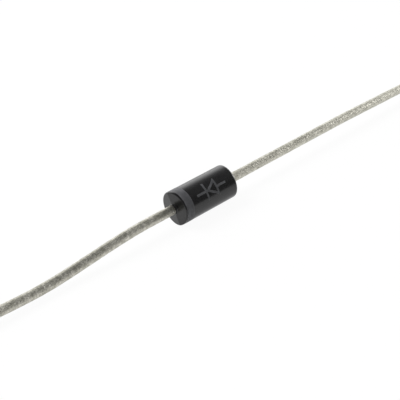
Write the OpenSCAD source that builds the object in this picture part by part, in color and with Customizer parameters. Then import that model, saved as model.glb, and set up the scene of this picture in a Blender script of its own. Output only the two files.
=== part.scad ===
// Axial rectifier diode: a chip soldered between two headed lead wires and
// moulded into a black epoxy cylinder, with a cathode band and a polarity mark.
// Millimetres. The lead axis runs along X, with the cathode towards -X. The
// diode lies on its moulded body, on z = 0, below the origin's lead axis.

/* [Body] */
// Diameter of the moulded body
body_d = 2.55; // [2.2:0.05:2.7]
// Length of the moulded body, measured along its parting line
body_l = 5.2; // [4.4:0.05:5.2]
// Slope of each half of an end face, so that it leaves its mould, in degrees
end_draft = 6; // [3:0.5:8]
// Radius that rounds the rim of each end
rim_r = 0.1; // [0.06:0.01:0.14]
// Turn of the parting plane about the lead axis, in degrees up from +Y
parting_angle = 58; // [0:1:179]
// How far the resin creeps out along and round each lead
creep = 0.1; // [0.05:0.01:0.15]

/* [Leads] */
// Diameter of the tinned lead wire
lead_d = 0.71; // [0.6:0.01:0.86]
// How far each lead's tip stands out from the end of the body
lead_reach = 27.5; // [25.4:0.1:30]
// Diameter of the head at the inner end of each lead
head_d = 1.4; // [1.3:0.05:1.7]
// Thickness of that head
head_t = 0.25; // [0.2:0.01:0.4]

/* [Cathode lead] */
// Straight length before the cathode lead dips
cathode_straight = 2.1; // [1:0.1:4]
// Radius of the dip, to the wire's centre
cathode_dip_r = 32; // [20:1:40]
// Angle that the dip turns through
cathode_dip_angle = 6.2; // [3:0.1:7]
// Straight length down the slope
cathode_slope_l = 3.7; // [2:0.1:5]
// Radius of the rise, to the wire's centre
cathode_rise_r = 24; // [15:1:30]
// Angle above level at which the cathode lead ends
cathode_rise_angle = 3; // [1:0.1:4]

/* [Anode lead] */
// Straight length before the anode lead dips
anode_straight = 11.5; // [2:0.1:14]
// Radius of the dip, to the wire's centre
anode_dip_r = 120; // [60:1:200]
// Angle that the dip turns through
anode_dip_angle = 1.4; // [0.5:0.1:2]

/* [Chip] */
// Side of the square silicon die
die_w = 1.2; // [0.9:0.05:1.3]
// Thickness of the die
die_t = 0.26; // [0.2:0.01:0.35]
// Diameter of each solder layer
solder_d = 1.1; // [0.8:0.05:1.2]
// Thickness of each solder layer
solder_t = 0.05; // [0.03:0.01:0.1]
// How far the silicone bead covers the die's corners
bead_cover = 0.15; // [0.1:0.01:0.2]

/* [Printing] */
// Thickness of the printed ink
ink_t = 0.03; // [0.02:0.005:0.05]
// Distance from the cathode end of the parting line to the band
band_start = 0.22; // [0.2:0.01:0.4]
// Width of the cathode band
band_w = 0.66; // [0.5:0.01:1]
// Distance from the band to the polarity mark
mark_gap = 0.55; // [0.3:0.05:0.8]
// Length of the polarity mark, along the body
mark_l = 2.7; // [2:0.05:2.8]
// Height of the polarity mark, round the body
mark_h = 1.3; // [0.8:0.05:1.4]
// Length of the mark's triangle
arrow_l = 1.15; // [0.8:0.05:1.3]
// Width of the mark's strokes
stroke_w = 0.17; // [0.12:0.01:0.2]
// Turn of the mark about the lead axis, in degrees up from +Y
mark_angle = 136; // [90:1:180]

/* [Hidden] */
round_fn = 96;
bend_fn = 720;
$fn = round_fn;
body_r = body_d / 2;
lead_r = lead_d / 2;
axis_h = body_r;
half_l = body_l / 2;

// Stack along the lead axis, from the middle of the die outwards.
solder_x = die_t / 2;
head_x = solder_x + solder_t;
wire_x = head_x + head_t;

// Silicone bead: a disc with a full round edge, as thick as the gap between the heads.
bead_r = die_w * sqrt(2) / 2 + bead_cover;

// Rim: a round that turns most of the way, then runs on straight into the side.
rim_turn = 65;
rim_steps = 6;
rim_in = body_r - rim_r * sin(rim_turn);

// Cuts run this far past what they cut.
over = body_r / 2;

// Each bend is a hair slimmer than the straights and laps a little way into them.
bend_slim = lead_d / 400;
bend_lap = lead_d / 16;

// A wire's path is a list of [straight length, bend radius, bend angle], with
// positive angles bending down and the last straight length worked out from the reach.
cathode_bends = [
    [half_l - head_x + cathode_straight, cathode_dip_r, cathode_dip_angle],
    [cathode_slope_l, cathode_rise_r, -cathode_dip_angle - cathode_rise_angle]];
anode_bends = [[half_l - head_x + anode_straight, anode_dip_r, anode_dip_angle]];

// Slope of the wire before bend i, in degrees below level.
function slope(bends, i) = i == 0 ? 0 : slope(bends, i - 1) + bends[i - 1][2];

// How far along the lead axis the first i straights and bends reach.
function run(bends, i) = i == 0 ? 0 :
    let (b = bends[i - 1], s = slope(bends, i - 1))
    run(bends, i - 1) + b[0] * cos(s) + b[1] * sign(b[2]) * (sin(s + b[2]) - sin(s));

// Length of the last straight, whose cut end reaches the same distance on each lead.
function last_straight(bends) =
    let (n = len(bends), s = slope(bends, n))
    (half_l + lead_reach - head_x - run(bends, n) - lead_r * sin(abs(s))) / cos(s);

// Turns the build direction to +X at the height of the lead axis.
module on_axis() {
    translate([0, 0, axis_h]) rotate([0, 90, 0]) children();
}

module on_both_ends() {
    children();
    mirror([0, 0, 1]) children();
}

// Turns local X to the given angle about the lead axis.
module at_angle(angle) {
    rotate([0, 0, 90 + angle]) children();
}

// One bend of wire that leaves the origin upwards and turns towards +X.
module bend(radius, angle) {
    lap = bend_lap / radius * 180 / PI;
    translate([radius, 0, 0]) rotate([90, 0, 180]) rotate([0, 0, -lap])
        rotate_extrude(angle = angle + 2 * lap, $fn = bend_fn)
            translate([radius, 0]) circle(r = lead_r - bend_slim, $fn = round_fn);
}

// The straights and bends from number i on, leaving the origin upwards.
module wire(bends, i = 0) {
    if (i == len(bends)) {
        cylinder(r = lead_r, h = last_straight(bends));
    } else {
        b = bends[i];
        side = b[2] < 0 ? 180 : 0;
        cylinder(r = lead_r, h = b[0]);
        translate([0, 0, b[0]]) rotate([0, 0, side]) {
            bend(b[1], abs(b[2]));
            translate([b[1] * (1 - cos(b[2])), 0, b[1] * sin(abs(b[2]))])
                rotate([0, abs(b[2]), 0]) rotate([0, 0, -side]) wire(bends, i + 1);
        }
    }
}

module headed_wire(bends) {
    translate([0, 0, head_x]) cylinder(d = head_d, h = head_t);
    translate([0, 0, head_x]) wire(bends);
}

// Everything below one half of an end face and its rounded rim, with the
// end face at z = 0 and the sides opening outwards past the body.
module end_form() {
    rim = [for (i = [0:rim_steps]) let (a = rim_turn * i / rim_steps)
        [rim_in + rim_r * sin(a), rim_r * (cos(a) - 1)]];
    flare = body_d - rim[rim_steps][0];
    depth = 2 * body_l;
    rotate_extrude() polygon(concat([[0, 0]], rim,
        [[body_d, rim[rim_steps][1] - flare * tan(rim_turn)], [body_d, -depth], [0, -depth]]));
}

// The two halves of one end face, which meet in a ridge on the parting line.
module drafted_end() {
    translate([0, 0, half_l]) at_angle(parting_angle) intersection() {
        rotate([end_draft, 0, 0]) end_form();
        rotate([-end_draft, 0, 0]) end_form();
    }
}

// Resin that has crept out round a lead, hollow on its outside.
module resin_creep() {
    foot_r = lead_r + creep;
    foot = foot_r * tan(end_draft);
    translate([0, 0, half_l]) rotate_extrude() difference() {
        translate([0, -foot]) square([foot_r, foot + creep]);
        translate([foot_r, creep]) circle(r = creep);
    }
}

// The symbol's outline: x along the body from the cathode side, y round it.
module diode_symbol() {
    tip = (mark_l - arrow_l) / 2 + stroke_w / 2;
    base = tip + arrow_l - stroke_w / 2;
    side = sqrt(pow(base - tip, 2) + pow(mark_h / 2, 2));
    inset = mark_h * (base - tip) / (mark_h + 2 * side);
    shrink = (inset - stroke_w) / inset;
    difference() {
        polygon([[tip, 0], [base, -mark_h / 2], [base, mark_h / 2]]);
        translate([base - inset, 0]) scale(shrink) translate([inset - base, 0])
            polygon([[tip, 0], [base, -mark_h / 2], [base, mark_h / 2]]);
    }
    translate([tip - stroke_w / 2, -mark_h / 2]) square([stroke_w, mark_h]);
    translate([0, -stroke_w / 2]) square([tip + stroke_w, stroke_w]);
    translate([base - stroke_w / 2, -stroke_w / 2]) square([mark_l - base + stroke_w / 2, stroke_w]);
}

// Shell that starts the ink's thickness below the body's surface and ends at the outer radius.
module ink_shell(from, length, outer_r) {
    translate([0, 0, from]) difference() {
        cylinder(r = outer_r, h = length);
        translate([0, 0, -over]) cylinder(r = body_r - ink_t, h = length + 2 * over);
    }
}

module band_print(outer_r = body_r) {
    ink_shell(band_start - half_l, band_w, outer_r);
}

module mark_print(outer_r = body_r) {
    from = band_start + band_w + mark_gap - half_l;
    intersection() {
        ink_shell(from - over, mark_l + 2 * over, outer_r);
        translate([0, 0, from]) at_angle(mark_angle) rotate([0, -90, 180])
            linear_extrude(body_d) diode_symbol();
    }
}

module bead() {
    rotate_extrude() {
        translate([0, -head_x]) square([bead_r - head_x, 2 * head_x]);
        translate([bead_r - head_x, 0]) circle(r = head_x);
    }
}

module epoxy_body() {
    color("#1b1b1c") on_axis() difference() {
        union() {
            intersection() {
                cylinder(r = body_r, h = 2 * body_l, center = true);
                drafted_end();
                mirror([0, 0, 1]) drafted_end();
            }
            on_both_ends() resin_creep();
        }
        bead();
        cylinder(d = head_d, h = 2 * wire_x, center = true);
        cylinder(r = lead_r, h = 2 * body_l, center = true);
        band_print(body_r + over);
        mark_print(body_r + over);
    }
}

module cathode_lead() {
    color("#b9b8ae") mirror([1, 0, 0]) on_axis() headed_wire(cathode_bends);
}

module anode_lead() {
    color("#b9b8ae") on_axis() headed_wire(anode_bends);
}

module silicon_die() {
    color("#5d6168") on_axis() cube([die_w, die_w, die_t], center = true);
}

module solder_layer() {
    color("#9a9c9e") translate([0, 0, solder_x]) cylinder(d = solder_d, h = solder_t);
}

module cathode_solder() {
    on_axis() mirror([0, 0, 1]) solder_layer();
}

module anode_solder() {
    on_axis() solder_layer();
}

module junction_coating() {
    color("#dfe3e1") on_axis() difference() {
        bead();
        cube([die_w, die_w, die_t], center = true);
        cylinder(d = solder_d, h = 2 * (head_x + over), center = true);
    }
}

module cathode_band() {
    color("#6a6a6e") on_axis() band_print();
}

module polarity_mark() {
    color("#6a6a6e") on_axis() mark_print();
}

epoxy_body();
cathode_lead();
anode_lead();
silicon_die();
cathode_solder();
anode_solder();
junction_coating();
cathode_band();
polarity_mark();
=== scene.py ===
import bpy
import bmesh
import math
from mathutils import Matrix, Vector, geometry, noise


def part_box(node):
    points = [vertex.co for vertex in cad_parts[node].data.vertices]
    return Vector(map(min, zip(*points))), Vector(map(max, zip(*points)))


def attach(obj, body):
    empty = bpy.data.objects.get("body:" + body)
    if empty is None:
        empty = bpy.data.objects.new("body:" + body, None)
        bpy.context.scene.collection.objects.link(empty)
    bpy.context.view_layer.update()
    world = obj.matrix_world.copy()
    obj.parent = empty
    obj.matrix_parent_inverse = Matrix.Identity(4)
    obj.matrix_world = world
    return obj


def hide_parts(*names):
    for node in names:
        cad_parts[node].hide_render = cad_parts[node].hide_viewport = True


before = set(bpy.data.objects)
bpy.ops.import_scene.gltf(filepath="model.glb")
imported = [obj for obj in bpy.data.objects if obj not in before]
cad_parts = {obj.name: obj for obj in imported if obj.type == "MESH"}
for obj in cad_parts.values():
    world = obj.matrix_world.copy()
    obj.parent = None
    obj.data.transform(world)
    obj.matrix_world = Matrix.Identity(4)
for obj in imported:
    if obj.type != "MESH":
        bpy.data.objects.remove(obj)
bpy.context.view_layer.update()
mm = 0.001
bodyLow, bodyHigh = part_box("epoxy_body")
axisHeight = (bodyLow.z + bodyHigh.z) / 2  # both leads leave the body on this line
print("frame loaded, body from", round(bodyLow.x / mm, 3), "to", round(bodyHigh.x / mm, 3), "mm")


# Camera, aimed a touch off the middle of the body. Lengths are in mm until they reach Blender, but for the studio's.
cameraSetup = {"azimuth": -43.28, "elevation": 35.22, "distance": 69.9, "lens": 88.1, "sensor": 36,
               "aim": (-0.172, -0.115, 0.950), "sees": (2, 5000)}


def makeCamera(setup):
    turn, lift = math.radians(setup["azimuth"]), math.radians(setup["elevation"])
    back = Vector((math.sin(turn) * math.cos(lift), -math.cos(turn) * math.cos(lift), math.sin(lift)))
    data = bpy.data.cameras.new("camera")
    data.sensor_width = setup["sensor"]
    data.lens = setup["lens"]
    data.clip_start, data.clip_end = (reach * mm for reach in setup["sees"])
    camera = bpy.data.objects.new("camera", data)
    camera.location = (Vector(setup["aim"]) + back * setup["distance"]) * mm
    camera.rotation_euler = (-back).to_track_quat("-Z", "Y").to_euler()
    bpy.context.scene.collection.objects.link(camera)
    bpy.context.scene.camera = camera


makeCamera(cameraSetup)
print("camera placed")


# Helpers for node trees

def addMath(tree, operation, first, second=None):
    made = tree.nodes.new("ShaderNodeMath")
    made.operation = operation
    for socket, value in zip(made.inputs, (first, second)):
        if isinstance(value, (int, float)):
            socket.default_value = value
        elif value is not None:
            tree.links.new(value, socket)
    return made.outputs[0]


def addRange(tree, value, low, high, toLow=0.0, toHigh=1.0, kind="SMOOTHSTEP"):
    made = tree.nodes.new("ShaderNodeMapRange")
    made.interpolation_type = kind
    made.clamp = True
    tree.links.new(value, made.inputs["Value"])
    for name, number in (("From Min", low), ("From Max", high), ("To Min", toLow), ("To Max", toHigh)):
        if isinstance(number, (int, float)):
            made.inputs[name].default_value = number
        else:
            tree.links.new(number, made.inputs[name])
    return made.outputs["Result"]


def addMix(tree, factor, first, second):
    made = tree.nodes.new("ShaderNodeMix")
    made.data_type = "RGBA"
    sockets = {s.identifier: s for s in made.inputs}
    for key, value in (("Factor_Float", factor), ("A_Color", first), ("B_Color", second)):
        if isinstance(value, (int, float)):
            sockets[key].default_value = value
        elif isinstance(value, tuple):
            sockets[key].default_value = (*value, 1)
        else:
            tree.links.new(value, sockets[key])
    return [s for s in made.outputs if s.identifier == "Result_Color"][0]


def addNoise(tree, place, size, detail=2.0, roughness=0.5, seed=0.0):
    made = tree.nodes.new("ShaderNodeTexNoise")
    made.noise_dimensions = "4D"
    tree.links.new(place, made.inputs["Vector"])
    made.inputs["Scale"].default_value = 1 / (size * mm)
    made.inputs["Detail"].default_value = detail
    made.inputs["Roughness"].default_value = roughness
    made.inputs["W"].default_value = seed
    return made.outputs["Fac"]


def newGroup(name, kind, inputs, outputs):
    group = bpy.data.node_groups.new(name, kind)
    for label, socketKind, value in inputs:
        socket = group.interface.new_socket(name=label, in_out="INPUT", socket_type=socketKind)
        if value is not None:
            socket.default_value = value
    for label, socketKind in outputs:
        group.interface.new_socket(name=label, in_out="OUTPUT", socket_type=socketKind)
    return group, group.nodes.new("NodeGroupInput"), group.nodes.new("NodeGroupOutput")


def newMaterial(name, metallic=0.0, ior=1.5):
    material = bpy.data.materials.new(name)
    material.use_nodes = True
    shader = material.node_tree.nodes["Principled BSDF"]
    shader.inputs["Metallic"].default_value = metallic
    shader.inputs["IOR"].default_value = ior
    place = material.node_tree.nodes.new("ShaderNodeTexCoord").outputs["Object"]
    return material, material.node_tree, shader, place


def addBump(tree, shader, height, distance, strength=1.0):
    made = tree.nodes.new("ShaderNodeBump")
    made.inputs["Strength"].default_value = strength
    made.inputs["Distance"].default_value = distance * mm
    tree.links.new(height, made.inputs["Height"])
    tree.links.new(made.outputs["Normal"], shader.inputs["Normal"])


# Shared effects: a soft mottle and sparse specks, both measured in mm

def makeMottle():
    inputs = [("Vector", "NodeSocketVector", None), ("Size", "NodeSocketFloat", 0.3), ("Low", "NodeSocketFloat", 0.0),
              ("High", "NodeSocketFloat", 1.0), ("Seed", "NodeSocketFloat", 0.0)]
    group, given, out = newGroup("mottle", "ShaderNodeTree", inputs, [("Value", "NodeSocketFloat")])
    made = group.nodes.new("ShaderNodeTexNoise")
    made.noise_dimensions = "4D"
    made.inputs["Detail"].default_value = 3
    made.inputs["Roughness"].default_value = 0.6
    group.links.new(given.outputs["Vector"], made.inputs["Vector"])
    group.links.new(addMath(group, "DIVIDE", 1 / mm, given.outputs["Size"]), made.inputs["Scale"])
    group.links.new(given.outputs["Seed"], made.inputs["W"])
    level = addRange(group, made.outputs["Fac"], 0.3, 0.7, given.outputs["Low"], given.outputs["High"])
    group.links.new(level, out.inputs["Value"])
    return group


def makeSpecks():
    inputs = [("Vector", "NodeSocketVector", None), ("Spacing", "NodeSocketFloat", 0.6),
              ("Radius", "NodeSocketFloat", 0.12), ("Share", "NodeSocketFloat", 0.5), ("Seed", "NodeSocketFloat", 0.0)]
    group, given, out = newGroup("specks", "ShaderNodeTree", inputs, [("Mask", "NodeSocketFloat")])
    cells = group.nodes.new("ShaderNodeTexVoronoi")
    cells.voronoi_dimensions = "4D"
    group.links.new(given.outputs["Vector"], cells.inputs["Vector"])
    group.links.new(addMath(group, "DIVIDE", 1 / mm, given.outputs["Spacing"]), cells.inputs["Scale"])
    group.links.new(given.outputs["Seed"], cells.inputs["W"])
    reach = addMath(group, "DIVIDE", given.outputs["Radius"], given.outputs["Spacing"])
    dot = addRange(group, cells.outputs["Distance"], 0.0, reach, 1.0, 0.0)
    pick = group.nodes.new("ShaderNodeSeparateColor")
    group.links.new(cells.outputs["Color"], pick.inputs["Color"])
    kept = addMath(group, "LESS_THAN", pick.outputs["Red"], given.outputs["Share"])
    group.links.new(addMath(group, "MULTIPLY", dot, kept), out.inputs["Mask"])
    return group


mottle, specks = makeMottle(), makeSpecks()


def useGroup(tree, group, place, **values):
    made = tree.nodes.new("ShaderNodeGroup")
    made.node_tree = group
    tree.links.new(place, made.inputs["Vector"])
    for label, value in values.items():
        made.inputs[label.capitalize()].default_value = value
    return made.outputs[0]


# Materials. Colours are linear, and sizes and depths are in mm.

def paint(tree, shader, colour, roughness):
    tree.links.new(colour, shader.inputs["Base Color"])
    tree.links.new(roughness, shader.inputs["Roughness"])


epoxyFinish = {"dark": (0.0035, 0.0035, 0.0037), "light": (0.0060, 0.0060, 0.0063), "cloud": 0.5,
               "sheen": 0.35, "smooth": 0.18, "rough": 0.26, "skin": 0.16, "skinDepth": 0.004}


def makeEpoxy(finish):
    material, tree, shader, place = newMaterial("blackMouldedEpoxy", ior=1.5)
    shade = useGroup(tree, mottle, place, size=finish["cloud"], low=0.0, high=1.0, seed=1)
    sheen = useGroup(tree, mottle, place, size=finish["sheen"], low=finish["smooth"], high=finish["rough"], seed=2)
    paint(tree, shader, addMix(tree, shade, finish["dark"], finish["light"]), sheen)
    addBump(tree, shader, addNoise(tree, place, finish["skin"], 3, 0.6, 3), finish["skinDepth"], 0.5)
    return material


inkFinish = {"dark": (0.046, 0.047, 0.051), "light": (0.076, 0.077, 0.083), "cloud": 0.45,
             "pinhole": (0.02, 0.02, 0.021), "pinSpacing": 0.16, "pinRadius": 0.05, "pinShare": 0.3, "pinDepth": 0.5,
             "sheen": 0.12, "smooth": 0.42, "rough": 0.62, "skin": 0.07, "skinDepth": 0.003}


def makeInk(finish):
    material, tree, shader, place = newMaterial("greyMarkingInk", ior=1.45)
    cloud = useGroup(tree, mottle, place, size=finish["cloud"], low=0.0, high=1.0, seed=5)
    colour = addMix(tree, cloud, finish["dark"], finish["light"])
    pin = useGroup(tree, specks, place, spacing=finish["pinSpacing"], radius=finish["pinRadius"],
                   share=finish["pinShare"], seed=6)
    colour = addMix(tree, addMath(tree, "MULTIPLY", pin, finish["pinDepth"]), colour, finish["pinhole"])
    sheen = useGroup(tree, mottle, place, size=finish["sheen"], low=finish["smooth"], high=finish["rough"], seed=7)
    paint(tree, shader, colour, sheen)
    addBump(tree, shader, addNoise(tree, place, finish["skin"], 2, 0.5, 8), finish["skinDepth"], 0.6)
    return material


# the second dull and clean colours are painted lighter copies of the tin for the anode end, standing in for light from
# that side
tinFinish = {"dull": (0.47, 0.46, 0.39), "dullPaintedLit": (0.56, 0.55, 0.475), "clean": (0.84, 0.82, 0.74),
             "cleanPaintedLit": (0.86, 0.845, 0.75), "paintedLightFrom": 2, "paintedLightTo": 12, "cloud": 0.34,
             "grain": (0.36, 0.35, 0.30), "grainSize": 0.11, "grainShare": 0.6,
             "pit": (0.13, 0.12, 0.09), "pitSpacing": 0.62, "pitRadius": 0.16, "pitShare": 0.35, "pitStrength": 0.8,
             "glint": (0.95, 0.93, 0.86), "glintSpacing": 0.42, "glintRadius": 0.12, "glintShare": 0.35,
             "glintStrength": 0.8, "glintHeight": 0.4, "sheen": 0.25, "smooth": 0.44, "rough": 0.60,
             "skin": 0.13, "skinDepth": 0.05}


def makeTin(finish):
    material, tree, shader, place = newMaterial("dullTinnedWire", metallic=1.0)
    along = tree.nodes.new("ShaderNodeSeparateXYZ")
    tree.links.new(place, along.inputs["Vector"])
    # painted light: the tin colour is painted brighter towards the anode end (+X), standing in for brighter light on
    # that side
    paintedLightAlong = addRange(tree, along.outputs["X"], finish["paintedLightFrom"] * mm, finish["paintedLightTo"] * mm)
    dull = addMix(tree, paintedLightAlong, finish["dull"], finish["dullPaintedLit"])
    clean = addMix(tree, paintedLightAlong, finish["clean"], finish["cleanPaintedLit"])
    cloud = useGroup(tree, mottle, place, size=finish["cloud"], low=0.0, high=1.0, seed=11)
    colour = addMix(tree, cloud, dull, clean)
    grain = useGroup(tree, mottle, place, size=finish["grainSize"], low=0.0, high=finish["grainShare"], seed=12)
    colour = addMix(tree, grain, colour, finish["grain"])
    pits = useGroup(tree, specks, place, spacing=finish["pitSpacing"], radius=finish["pitRadius"],
                    share=finish["pitShare"], seed=13)
    colour = addMix(tree, addMath(tree, "MULTIPLY", pits, finish["pitStrength"]), colour, finish["pit"])
    glints = useGroup(tree, specks, place, spacing=finish["glintSpacing"], radius=finish["glintRadius"],
                      share=finish["glintShare"], seed=14)
    colour = addMix(tree, addMath(tree, "MULTIPLY", glints, finish["glintStrength"]), colour, finish["glint"])
    sheen = useGroup(tree, mottle, place, size=finish["sheen"], low=finish["smooth"], high=finish["rough"], seed=15)
    paint(tree, shader, colour, sheen)
    skin = addNoise(tree, place, finish["skin"], 3, 0.6, 16)
    height = addMath(tree, "ADD", skin, addMath(tree, "MULTIPLY", glints, finish["glintHeight"]))
    addBump(tree, shader, addMath(tree, "SUBTRACT", height, pits), finish["skinDepth"], 1.0)
    return material


cutFinish = {"copper": (0.62, 0.33, 0.20), "tin": (0.60, 0.56, 0.50), "smear": 0.25,
             "sheen": 0.10, "smooth": 0.30, "rough": 0.55, "skin": 0.05, "skinDepth": 0.01}


def makeCutCopper(finish):
    material, tree, shader, place = newMaterial("shearedWireEnd", metallic=1.0)
    smear = useGroup(tree, mottle, place, size=finish["smear"], low=0.0, high=1.0, seed=21)
    sheen = useGroup(tree, mottle, place, size=finish["sheen"], low=finish["smooth"], high=finish["rough"], seed=22)
    paint(tree, shader, addMix(tree, smear, finish["copper"], finish["tin"]), sheen)
    addBump(tree, shader, addNoise(tree, place, finish["skin"], 3, 0.6, 23), finish["skinDepth"], 0.6)
    return material


# Inside pieces keep their own meshes and take one plain finish each
innerFinish = {
    "sawnSilicon": {"dark": (0.07, 0.075, 0.085), "light": (0.13, 0.14, 0.155), "cloud": 0.3, "roughness": 0.32,
                    "metallic": 0.0, "seed": 31, "nodes": ["silicon_die"]},
    "softSolder": {"dark": (0.42, 0.42, 0.42), "light": (0.58, 0.58, 0.57), "cloud": 0.2, "roughness": 0.42,
                   "metallic": 1.0, "seed": 41, "nodes": ["cathode_solder", "anode_solder"]},
    "milkySilicone": {"dark": (0.60, 0.62, 0.60), "light": (0.76, 0.78, 0.76), "cloud": 0.4, "roughness": 0.45,
                      "metallic": 0.0, "seed": 51, "nodes": ["junction_coating"]},
}


def makeInner(name, finish):
    material, tree, shader, place = newMaterial(name, metallic=finish["metallic"])
    size, middle, seed = finish["cloud"], finish["roughness"], finish["seed"]
    cloud = useGroup(tree, mottle, place, size=size, low=0.0, high=1.0, seed=seed)
    sheen = useGroup(tree, mottle, place, size=size / 2, low=middle - 0.08, high=middle + 0.08, seed=seed + 1)
    paint(tree, shader, addMix(tree, cloud, finish["dark"], finish["light"]), sheen)
    addBump(tree, shader, addNoise(tree, place, size / 3, 2, 0.5, seed + 2), 0.004, 0.5)
    for node in finish["nodes"]:
        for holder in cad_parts[node].material_slots:
            holder.material = material


epoxy, ink = makeEpoxy(epoxyFinish), makeInk(inkFinish)
tin, cutCopper = makeTin(tinFinish), makeCutCopper(cutFinish)
for name, finish in innerFinish.items():
    makeInner(name, finish)
print("materials ready")


# Shells: closed profiles set side by side round the lead axis

def onRound(x, radius, turn):
    return Vector((x, radius * math.cos(turn), axisHeight / mm + radius * math.sin(turn))) * mm


def finishPiece(name, mesh, sharp):
    mesh.polygons.foreach_set("use_smooth", [True] * len(mesh.polygons))
    mesh.set_sharp_from_angle(angle=math.radians(sharp))
    piece = bpy.data.objects.new(name, mesh)
    bpy.context.scene.collection.objects.link(piece)
    return piece


def addPiece(name, mesh, work, material, sharp):
    bmesh.ops.recalc_face_normals(work, faces=work.faces)
    if work.calc_volume(signed=True) < 0:  # a thin curved film can come out inside out
        bmesh.ops.reverse_faces(work, faces=work.faces)
    work.to_mesh(mesh)
    work.free()
    mesh.materials.append(material)
    return finishPiece(name, mesh, sharp)


def addShell(name, profiles, material, sharp):
    rings, count = len(profiles), len(profiles[0])
    vertices = [tuple(onRound(x, radius, 2 * math.pi * i / rings))
                for i, profile in enumerate(profiles) for x, radius in profile]
    faces = []
    for i in range(rings):
        here, there = i * count, (i + 1) % rings * count
        faces += [(here + j, here + (j + 1) % count, there + (j + 1) % count, there + j) for j in range(count)]
    mesh = bpy.data.meshes.new(name)
    mesh.from_pydata(vertices, [], faces)
    work = bmesh.new()
    work.from_mesh(mesh)
    bmesh.ops.remove_doubles(work, verts=work.verts, dist=1e-8)
    return addPiece(name, mesh, work, material, sharp)


# Body: one closed moulded shell, with its hollow for the chip and the heads of the leads

moulding = {"radius": 1.275, "length": 5.2, "draft": 6.0, "rim": 0.1, "farRim": 0.15, "parting": 58.0,
            "creep": 0.1, "creepUneven": 0.25, "bore": 0.3555, "headRadius": 0.7, "headStart": 0.18, "headEnd": 0.43,
            "beadRadius": 0.9985, "flashHeight": 0.006, "flashWidth": 0.03, "sharp": 35,
            "turns": 320, "rows": 64, "creepSteps": 8, "faceSteps": 12, "rimSteps": 10, "beadSteps": 12}


def endProfile(shape, turn, side):
    # from the mouth of the bore to the foot of the side, for one direction round the axis
    across = abs(math.sin(turn - math.radians(shape["parting"])))
    slope = math.tan(math.radians(shape["draft"])) * across
    half, rim, foot = shape["length"] / 2, shape["farRim" if side > 0 else "rim"], shape["bore"] + shape["creep"]
    uneven = noise.noise(Vector((math.cos(turn) * 1.3, math.sin(turn) * 1.3, 4.0 * side)))
    footX, mouthX = half - foot * slope, half + shape["creep"] * (1 + shape["creepUneven"] * uneven)
    points = []
    for step in range(shape["creepSteps"] + 1):
        a = math.radians(90 * step / shape["creepSteps"])
        points.append((mouthX + (footX - mouthX) * math.sin(a), shape["bore"] + shape["creep"] * (1 - math.cos(a))))
    centreR = shape["radius"] - rim
    centreX = half - slope * centreR - rim * math.sqrt(1 + slope ** 2)
    lean = math.atan(slope)
    startR = centreR + rim * math.sin(lean)
    for step in range(1, shape["faceSteps"] + 1):
        r = foot + (startR - foot) * step / shape["faceSteps"]
        points.append((half - r * slope, r))
    for step in range(1, shape["rimSteps"] + 1):
        a = math.pi / 2 - lean - (math.pi / 2 - lean) * step / shape["rimSteps"]
        points.append((centreX + rim * math.sin(a), centreR + rim * math.cos(a)))
    return points


def sideProfile(shape, turn, fromX, toX):
    # the round side, which lifts a little along the parting line
    offPart = math.sin(turn - math.radians(shape["parting"])) * shape["radius"]
    flash = shape["flashHeight"] * math.exp(-(offPart / shape["flashWidth"]) ** 2)
    points = []
    for step in range(1, shape["rows"]):
        fade = min(1, step / 3, (shape["rows"] - step) / 3)
        points.append((fromX + (toX - fromX) * step / shape["rows"], shape["radius"] + flash * fade))
    return points


def hollowProfile(shape):
    # bore, head, round bead of coating, head and bore again
    start, end, bore, head = shape["headStart"], shape["headEnd"], shape["bore"], shape["headRadius"]
    turns = [math.radians(180 * k / shape["beadSteps"]) for k in range(shape["beadSteps"] + 1)]
    bead = [(-start * math.cos(a), shape["beadRadius"] - start * (1 - math.sin(a))) for a in turns]
    return [(-end, bore), (-end, head), (-start, head)] + bead + [(start, head), (end, head), (end, bore)]


def makeBody(shape):
    profiles = []
    for i in range(shape["turns"]):
        turn = 2 * math.pi * i / shape["turns"]
        right, left = endProfile(shape, turn, 1), endProfile(shape, turn, -1)
        side = sideProfile(shape, turn, right[-1][0], -left[-1][0])
        profiles.append(right + side + [(-x, r) for x, r in reversed(left)] + hollowProfile(shape))
    return addShell("mouldedBody", profiles, epoxy, shape["sharp"])


mouldedBody = makeBody(moulding)
print("body made,", len(mouldedBody.data.polygons), "faces")


# Printed marks: the cathode ring and the diode symbol, thin films with slightly ragged edges

printing = {"proud": 0.004, "depth": 0.02, "ringStart": 0.22, "ringWidth": 0.66, "ringTurns": 480, "ringRows": 16,
            "gap": 0.55, "length": 2.7, "height": 1.3, "arrow": 1.15, "stroke": 0.17, "angle": 136.0,
            "meshStep": 0.03, "sliver": 0.001, "ragged": 0.012, "grain": 0.09, "sharp": 60}


def ragged(shape, a, b, seed):
    fine = noise.noise(Vector((a, b, seed)) / shape["grain"])
    broad = noise.noise(Vector((a, b, seed + 9)) / (4 * shape["grain"]))
    return shape["ragged"] * (fine + broad)


def makeRing(shape, body):
    start, rows = shape["ringStart"] - body["length"] / 2, shape["ringRows"]
    outer, inner = body["radius"] + shape["proud"], body["radius"] - shape["depth"]
    profiles = []
    for i in range(shape["ringTurns"]):
        turn = 2 * math.pi * i / shape["ringTurns"]
        y, z = body["radius"] * math.cos(turn), body["radius"] * math.sin(turn)
        low, high = start + ragged(shape, y, z, 1.0), start + shape["ringWidth"] + ragged(shape, y, z, 20.0)
        film = [(low + (high - low) * j / rows, outer) for j in range(rows + 1)]
        profiles.append([(low, inner)] + film + [(high, inner)])
    return addShell("cathodeRing", profiles, ink, shape["sharp"])


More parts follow.
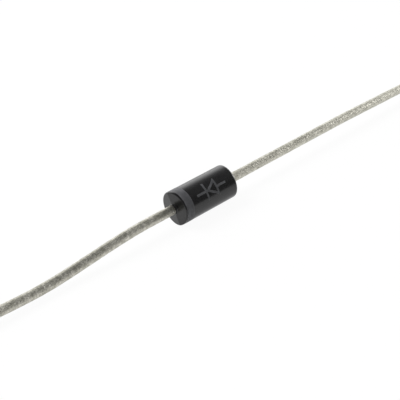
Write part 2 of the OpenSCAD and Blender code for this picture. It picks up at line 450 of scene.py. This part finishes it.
def symbolOutline(shape):
    # bar and arrow on one line, and the window inside the arrow
    s, h = shape["stroke"] / 2, shape["height"] / 2
    tip = (shape["length"] - shape["arrow"]) / 2 + s
    base = tip + shape["arrow"] - s
    rise = h / (base - tip)
    half = [(0, s), (tip - s, s), (tip - s, h), (tip + s, h), (tip + s, s), (tip + s / rise, s),
            (base, h), (base, s), (shape["length"], s)]
    side = math.hypot(base - tip, h)
    inset = 2 * h * (base - tip) / (2 * h + 2 * side)
    shrink = (inset - 2 * s) / inset
    middle = base - inset
    window = [(middle + (u - middle) * shrink, v * shrink) for u, v in ((tip, 0), (base, -h), (base, h))]
    return half + [(u, -v) for u, v in reversed(half)], window


def cutAcross(work, place, direction):
    everything = work.verts[:] + work.edges[:] + work.faces[:]
    bmesh.ops.bisect_plane(work, geom=everything, plane_co=place, plane_no=direction)


def makeSymbol(shape, body):
    loops = [[Vector((u, v, 0)) for u, v in loop] for loop in symbolOutline(shape)]
    work = bmesh.new()
    corners = [work.verts.new(p) for loop in loops for p in loop]
    for face in geometry.tessellate_polygon(loops):
        work.faces.new([corners[k] for k in face])
    # small faces, so that the film can follow the round body
    step = shape["meshStep"]
    for k in range(1, int(shape["length"] / step) + 1):
        cutAcross(work, (k * step, 0, 0), (1, 0, 0))
    reach = int(shape["height"] / step / 2) + 1
    for k in range(-reach, reach + 1):
        cutAcross(work, (0, k * step, 0), (0, 1, 0))
    bmesh.ops.remove_doubles(work, verts=work.verts, dist=shape["sliver"])
    bmesh.ops.recalc_face_normals(work, faces=work.faces)
    for vertex in {v for e in work.edges if e.is_boundary for v in e.verts}:
        u, v = vertex.co.x, vertex.co.y
        vertex.co.x += ragged(shape, u, v, 40.0)
        vertex.co.y += ragged(shape, u, v, 60.0)
    raised = bmesh.ops.extrude_face_region(work, geom=work.faces[:])
    top = {v for v in raised["geom"] if isinstance(v, bmesh.types.BMVert)}
    start = shape["ringStart"] + shape["ringWidth"] + shape["gap"] - body["length"] / 2
    for vertex in work.verts:
        turn = math.radians(shape["angle"]) + math.asin(vertex.co.y / body["radius"])
        radius = body["radius"] + (shape["proud"] if vertex in top else -shape["depth"])
        vertex.co = onRound(start + vertex.co.x, radius, turn)
    # corners and faces in the same order each run
    for elements, place in ((work.verts, lambda v: v.co[:]), (work.faces, lambda f: f.calc_center_median()[:])):
        order = {element: rank for rank, element in enumerate(sorted(elements, key=place))}
        elements.sort(key=order.get)
        elements.index_update()
    return addPiece("diodeSymbol", bpy.data.meshes.new("diodeSymbol"), work, ink, shape["sharp"])


cathodeRing, diodeSymbol = makeRing(printing, moulding), makeSymbol(printing, moulding)
print("marks printed,", len(cathodeRing.data.polygons) + len(diodeSymbol.data.polygons), "faces")


# Leads: each is a path of straights and bends, with its girth and cut end marked on the path's points

leadShape = {"radius": 0.355, "headRadius": 0.7, "headStart": 0.18, "headLength": 0.25, "shoulder": 0.002,
             "reach": 27.5, "bodyHalf": 2.6, "calmLength": 0.15, "calmFade": 0.6, "cutRound": 0.02, "cutSteps": 6,
             "step": 0.06, "sides": 56, "sharp": 50}
leadPaths = {  # straight length, bend radius and bend angle, where a positive angle bends down
    "cathodeWire": {"toward": -1, "seed": 3.0, "bends": [(2.1, 32, 6.2), (3.7, 24, -9.2)]},
    "anodeWire": {"toward": 1, "seed": 8.0, "bends": [(11.5, 120, 1.4)]},
}
leadSurface = {"Waviness": 0.018, "Wave Size": 1.5, "Grain Depth": 0.012, "Grain Size": 0.2,
               "Pit Depth": 0.02, "Pit Size": 0.6}


def pathPoints(lead, shape):
    x, z, slope = shape["headStart"], 0.0, 0.0
    points = [(x, z)]

    def goStraight(length):
        nonlocal x, z
        steps = max(2, round(length / shape["step"]))
        fromX, fromZ = x, z
        for k in range(1, steps + 1):
            x = fromX + math.cos(slope) * length * k / steps
            z = fromZ - math.sin(slope) * length * k / steps
            points.append((x, z))

    hidden = shape["bodyHalf"] - shape["headStart"]  # the first straight starts inside the body
    for length, radius, angle in lead["bends"]:
        goStraight(hidden + length)
        hidden = 0
        steps = max(4, round(radius * abs(math.radians(angle)) / shape["step"]))
        part = math.radians(angle) / steps
        chord = 2 * radius * math.sin(abs(part) / 2)
        for k in range(steps):
            middle = slope + part / 2
            x, z, slope = x + chord * math.cos(middle), z - chord * math.sin(middle), slope + part
            points.append((x, z))
    goStraight((shape["bodyHalf"] + shape["reach"] - x - shape["radius"] * math.sin(abs(slope))) / math.cos(slope))
    return points


def makePath(name, lead, shape):
    plain = pathPoints(lead, shape)
    headEnd, headGirth = shape["headStart"] + shape["headLength"], shape["headRadius"] / shape["radius"]
    (beforeX, beforeZ), (lastX, lastZ) = plain[-2:]
    marks = [(x, z, headGirth) for x, z in plain if x < headEnd]
    shoulderZ = plain[len(marks)][1]
    marks += [(headEnd, shoulderZ, headGirth), (headEnd + shape["shoulder"], shoulderZ, 1.0)]
    marks += [(x, z, 1.0) for x, z in plain
              if x >= headEnd and math.hypot(lastX - x, lastZ - z) >= shape["cutRound"] * 1.5]
    length = math.hypot(lastX - beforeX, lastZ - beforeZ)
    aheadX, aheadZ = (lastX - beforeX) / length, (lastZ - beforeZ) / length
    for k in range(shape["cutSteps"] + 1):  # the rounded edge of the cut end
        a = math.radians(90 * k / shape["cutSteps"])
        back = shape["cutRound"] * (1 - math.sin(a))
        girth = 1 - shape["cutRound"] / shape["radius"] * (1 - math.cos(a))
        marks.append((lastX - aheadX * back, lastZ - aheadZ * back, girth))
    mesh = bpy.data.meshes.new(name)
    mesh.from_pydata([Vector((lead["toward"] * x, 0, axisHeight / mm + z)) * mm for x, z, _ in marks],
                     [(k, k + 1) for k in range(len(marks) - 1)], [])
    outside = [min(1, max(0, (x - shape["bodyHalf"] - shape["calmLength"]) / shape["calmFade"])) for x, _, _ in marks]
    ends = [0.0] * (len(marks) - 1) + [1.0]
    for label, values in (("girth", [girth for _, _, girth in marks]), ("outside", outside), ("cutEnd", ends)):
        mesh.attributes.new(label, "FLOAT", "POINT").data.foreach_set("value", values)
    piece = bpy.data.objects.new(name, mesh)
    bpy.context.scene.collection.objects.link(piece)
    return piece


def makeWireTree():
    number = "NodeSocketFloat"
    inputs = [("Path", "NodeSocketGeometry", None), ("Wire Radius", number, 0.355), ("Sides", "NodeSocketInt", 56),
              ("Waviness", number, 0.0), ("Wave Size", number, 1.0), ("Grain Depth", number, 0.0),
              ("Grain Size", number, 0.1), ("Pit Depth", number, 0.0), ("Pit Size", number, 0.5), ("Seed", number, 0.0),
              ("Wire Finish", "NodeSocketMaterial", None), ("Cut Finish", "NodeSocketMaterial", None)]
    tree, given, out = newGroup("tinnedWireSweep", "GeometryNodeTree", inputs, [("Wire", "NodeSocketGeometry")])
    link = tree.links.new

    def attribute(label):
        made = tree.nodes.new("GeometryNodeInputNamedAttribute")
        made.data_type = "FLOAT"
        made.inputs["Name"].default_value = label
        return made.outputs["Attribute"]

    def field(kind, size, seed):
        made = tree.nodes.new(kind)
        if kind == "ShaderNodeTexNoise":
            made.noise_dimensions = "4D"
            made.inputs["Detail"].default_value = 1.5
        else:
            made.voronoi_dimensions = "4D"
        link(addMath(tree, "DIVIDE", 1 / mm, given.outputs[size]), made.inputs["Scale"])
        link(addMath(tree, "ADD", given.outputs["Seed"], seed), made.inputs["W"])
        return made

    def times(first, second):
        return addMath(tree, "MULTIPLY", first, second)

    # the sweep
    line = tree.nodes.new("GeometryNodeMeshToCurve")
    link(given.outputs["Path"], line.inputs["Mesh"])
    girth = tree.nodes.new("GeometryNodeSetCurveRadius")
    link(line.outputs["Curve"], girth.inputs["Curve"])
    link(attribute("girth"), girth.inputs["Radius"])
    ring = tree.nodes.new("GeometryNodeCurvePrimitiveCircle")
    link(given.outputs["Sides"], ring.inputs["Resolution"])
    link(times(given.outputs["Wire Radius"], mm), ring.inputs["Radius"])
    sweep = tree.nodes.new("GeometryNodeCurveToMesh")
    sweep.inputs["Fill Caps"].default_value = True
    link(girth.outputs["Curve"], sweep.inputs["Curve"])
    link(ring.outputs["Curve"], sweep.inputs["Profile Curve"])
    # waves, grain and pits push the skin in and out
    wave = addMath(tree, "SUBTRACT", field("ShaderNodeTexNoise", "Wave Size", 0).outputs["Fac"], 0.5)
    grain = addMath(tree, "SUBTRACT", field("ShaderNodeTexNoise", "Grain Size", 5).outputs["Fac"], 0.5)
    pit = addRange(tree, field("ShaderNodeTexVoronoi", "Pit Size", 9).outputs["Distance"], 0.05, 0.28, 1.0, 0.0)
    lift = times(times(wave, given.outputs["Waviness"]), 2)
    lift = addMath(tree, "ADD", lift, times(grain, given.outputs["Grain Depth"]))
    lift = addMath(tree, "SUBTRACT", lift, times(pit, given.outputs["Pit Depth"]))
    lift = times(times(lift, mm), attribute("outside"))
    push = tree.nodes.new("ShaderNodeVectorMath")
    push.operation = "SCALE"
    link(tree.nodes.new("GeometryNodeInputNormal").outputs["Normal"], push.inputs[0])
    link(lift, push.inputs["Scale"])
    move = tree.nodes.new("GeometryNodeSetPosition")
    link(sweep.outputs["Mesh"], move.inputs["Geometry"])
    link(push.outputs["Vector"], move.inputs["Offset"])
    # tin all over, then bare copper on the cut end
    real = tree.nodes.new("GeometryNodeRealizeInstances")
    link(move.outputs["Geometry"], real.inputs["Geometry"])
    coat = tree.nodes.new("GeometryNodeSetMaterial")
    link(real.outputs["Geometry"], coat.inputs["Geometry"])
    link(given.outputs["Wire Finish"], coat.inputs["Material"])
    cut = tree.nodes.new("GeometryNodeSetMaterial")
    link(coat.outputs["Geometry"], cut.inputs["Geometry"])
    link(addMath(tree, "GREATER_THAN", attribute("cutEnd"), 0.9), cut.inputs["Selection"])
    link(given.outputs["Cut Finish"], cut.inputs["Material"])
    link(cut.outputs["Geometry"], out.inputs["Wire"])
    return tree


def sweepWire(name, lead, shape, surface, tree):
    path = makePath(name + "Path", lead, shape)
    modifier = path.modifiers.new("wire", "NODES")
    modifier.node_group = tree
    identifiers = {s.name: s.identifier for s in tree.interface.items_tree if s.in_out == "INPUT"}
    values = {"Wire Radius": shape["radius"], "Sides": shape["sides"], "Seed": lead["seed"],
              "Wire Finish": tin, "Cut Finish": cutCopper, **surface}
    for label, value in values.items():
        modifier[identifiers[label]] = value
    path.update_tag()
    bpy.context.view_layer.update()
    mesh = bpy.data.meshes.new_from_object(path.evaluated_get(bpy.context.evaluated_depsgraph_get()))
    path.modifiers.remove(modifier)
    bpy.data.objects.remove(path)
    mesh.name = name
    for label in ("girth", "outside", "cutEnd"):
        if label in mesh.attributes:
            mesh.attributes.remove(mesh.attributes[label])
    return finishPiece(name, mesh, shape["sharp"])


wireTree = makeWireTree()
wires = {name: sweepWire(name, lead, leadShape, leadSurface, wireTree) for name, lead in leadPaths.items()}
print("leads swept,", [len(w.data.polygons) for w in wires.values()], "faces")


# Floor, backdrop light and lamps, with lengths in metres

studio = {"floorSize": 0.9, "floorDrop": 2e-5, "floorColour": 0.85, "floorRoughness": 0.9,
          "shadowSeen": 0.05, "shadowInGloss": 0.3, "cameraSide": 0.20,
          "backdrop": [(0.0, 2.0), (0.42, 1.8), (0.61, 0.70), (0.73, 0.36), (0.82, 0.24), (1.0, 0.20)],
          "backdropToward": (0.686, 0.728), "backdropEdge": (0.0, 0.5)}
lamps = {
    "softKey": {"toward": (-0.5, 0.45, 0.74), "distance": 0.5, "size": 0.3, "energy": 3.0, "inGloss": False},
    "sideFill": {"toward": (0.97, -0.12, 0.15), "distance": 0.4, "size": 0.14, "energy": 0.4, "inGloss": True},
}


def makeFloor(setup):
    half, drop = setup["floorSize"] / 2, -setup["floorDrop"]
    corners = [(-half, -half, drop), (half, -half, drop), (half, half, drop), (-half, half, drop)]
    mesh = bpy.data.meshes.new("paleFloor")
    mesh.from_pydata(corners, [], [(0, 1, 2, 3)])
    floor = bpy.data.objects.new("paleFloor", mesh)
    bpy.context.scene.collection.objects.link(floor)
    material = bpy.data.materials.new("whiteSweep")
    material.use_nodes = True
    tree = material.node_tree
    shader = tree.nodes["Principled BSDF"]
    shader.inputs["Base Color"].default_value = (setup["floorColour"],) * 3 + (1,)
    shader.inputs["Roughness"].default_value = setup["floorRoughness"]
    glow = tree.nodes.new("ShaderNodeEmission")
    glow.inputs["Color"].default_value = (1, 1, 1, 1)
    glow.inputs["Strength"].default_value = 1.0
    # the camera and reflections see nearly plain white, with a little of the shadow left in
    paths = tree.nodes.new("ShaderNodeLightPath")
    inGloss = addMath(tree, "MAXIMUM", paths.outputs["Is Glossy Ray"], paths.outputs["Is Transmission Ray"])
    direct = addMath(tree, "MULTIPLY", paths.outputs["Is Camera Ray"], 1 - setup["shadowSeen"])
    seen = addMath(tree, "MAXIMUM", direct, addMath(tree, "MULTIPLY", inGloss, 1 - setup["shadowInGloss"]))
    mix = tree.nodes.new("ShaderNodeMixShader")
    tree.links.new(seen, mix.inputs["Fac"])
    tree.links.new(shader.outputs["BSDF"], mix.inputs[1])
    tree.links.new(glow.outputs["Emission"], mix.inputs[2])
    tree.links.new(mix.outputs["Shader"], tree.nodes["Material Output"].inputs["Surface"])
    mesh.materials.append(material)


def makeWorld(setup):
    world = bpy.data.worlds.new("studioRoom")
    bpy.context.scene.world = world
    world.use_nodes = True
    tree = world.node_tree
    background = tree.nodes["Background"]
    ray = tree.nodes.new("ShaderNodeSeparateXYZ")
    tree.links.new(tree.nodes.new("ShaderNodeTexCoord").outputs["Generated"], ray.inputs["Vector"])
    climb = tree.nodes.new("ShaderNodeValToRGB")  # how bright the backdrop is at each height
    top = max(level for _, level in setup["backdrop"])
    stops = climb.color_ramp.elements
    for number, (height, level) in enumerate(setup["backdrop"]):
        stop = stops[number] if number < 2 else stops.new(height)
        stop.position = height
        stop.color = (level / top,) * 3 + (1,)
    tree.links.new(ray.outputs["Z"], climb.inputs["Fac"])
    # how far round towards the backdrop a ray goes, kept clear of a division by 0 straight up
    squared = addMath(tree, "MULTIPLY", ray.outputs["Z"], ray.outputs["Z"])
    flat = addMath(tree, "SQRT", addMath(tree, "SUBTRACT", 1.0001, squared))
    ahead = addMath(tree, "ADD", addMath(tree, "MULTIPLY", ray.outputs["X"], setup["backdropToward"][0]),
                    addMath(tree, "MULTIPLY", ray.outputs["Y"], setup["backdropToward"][1]))
    facing = addRange(tree, addMath(tree, "DIVIDE", ahead, flat), *setup["backdropEdge"], 0.0, 1.0)
    bright = addMath(tree, "MULTIPLY", climb.outputs["Color"], top)
    level = addRange(tree, facing, 0.0, 1.0, setup["cameraSide"], bright, "LINEAR")
    paths = tree.nodes.new("ShaderNodeLightPath")
    level = addRange(tree, paths.outputs["Is Camera Ray"], 0.0, 1.0, level, 1.0, "LINEAR")
    tree.links.new(level, background.inputs["Strength"])
    background.inputs["Color"].default_value = (1, 1, 1, 1)


def makeLamp(name, setup):
    toward = Vector(setup["toward"])
    data = bpy.data.lights.new(name, "AREA")
    data.shape = "DISK"
    data.size = setup["size"]
    data.energy = setup["energy"]
    lamp = bpy.data.objects.new(name, data)
    lamp.location = toward.normalized() * setup["distance"]
    lamp.rotation_euler = toward.to_track_quat("Z", "Y").to_euler()
    lamp.visible_glossy = setup["inGloss"]
    bpy.context.scene.collection.objects.link(lamp)


makeFloor(studio)
makeWorld(studio)
for name, setup in lamps.items():
    makeLamp(name, setup)
bpy.context.scene.view_settings.view_transform = "Standard"
print("studio lit")


# Each piece takes over from its node and rides on the one body

for piece, replaced, finishSlot in (
        (mouldedBody, "epoxy_body", "epoxy"),
        (cathodeRing, "cathode_band", "ink"),
        (diodeSymbol, "polarity_mark", "ink"),
        (wires["cathodeWire"], "cathode_lead", "tinned_wire"),
        (wires["anodeWire"], "anode_lead", "tinned_wire")):
    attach(piece, "root")
    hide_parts(replaced)
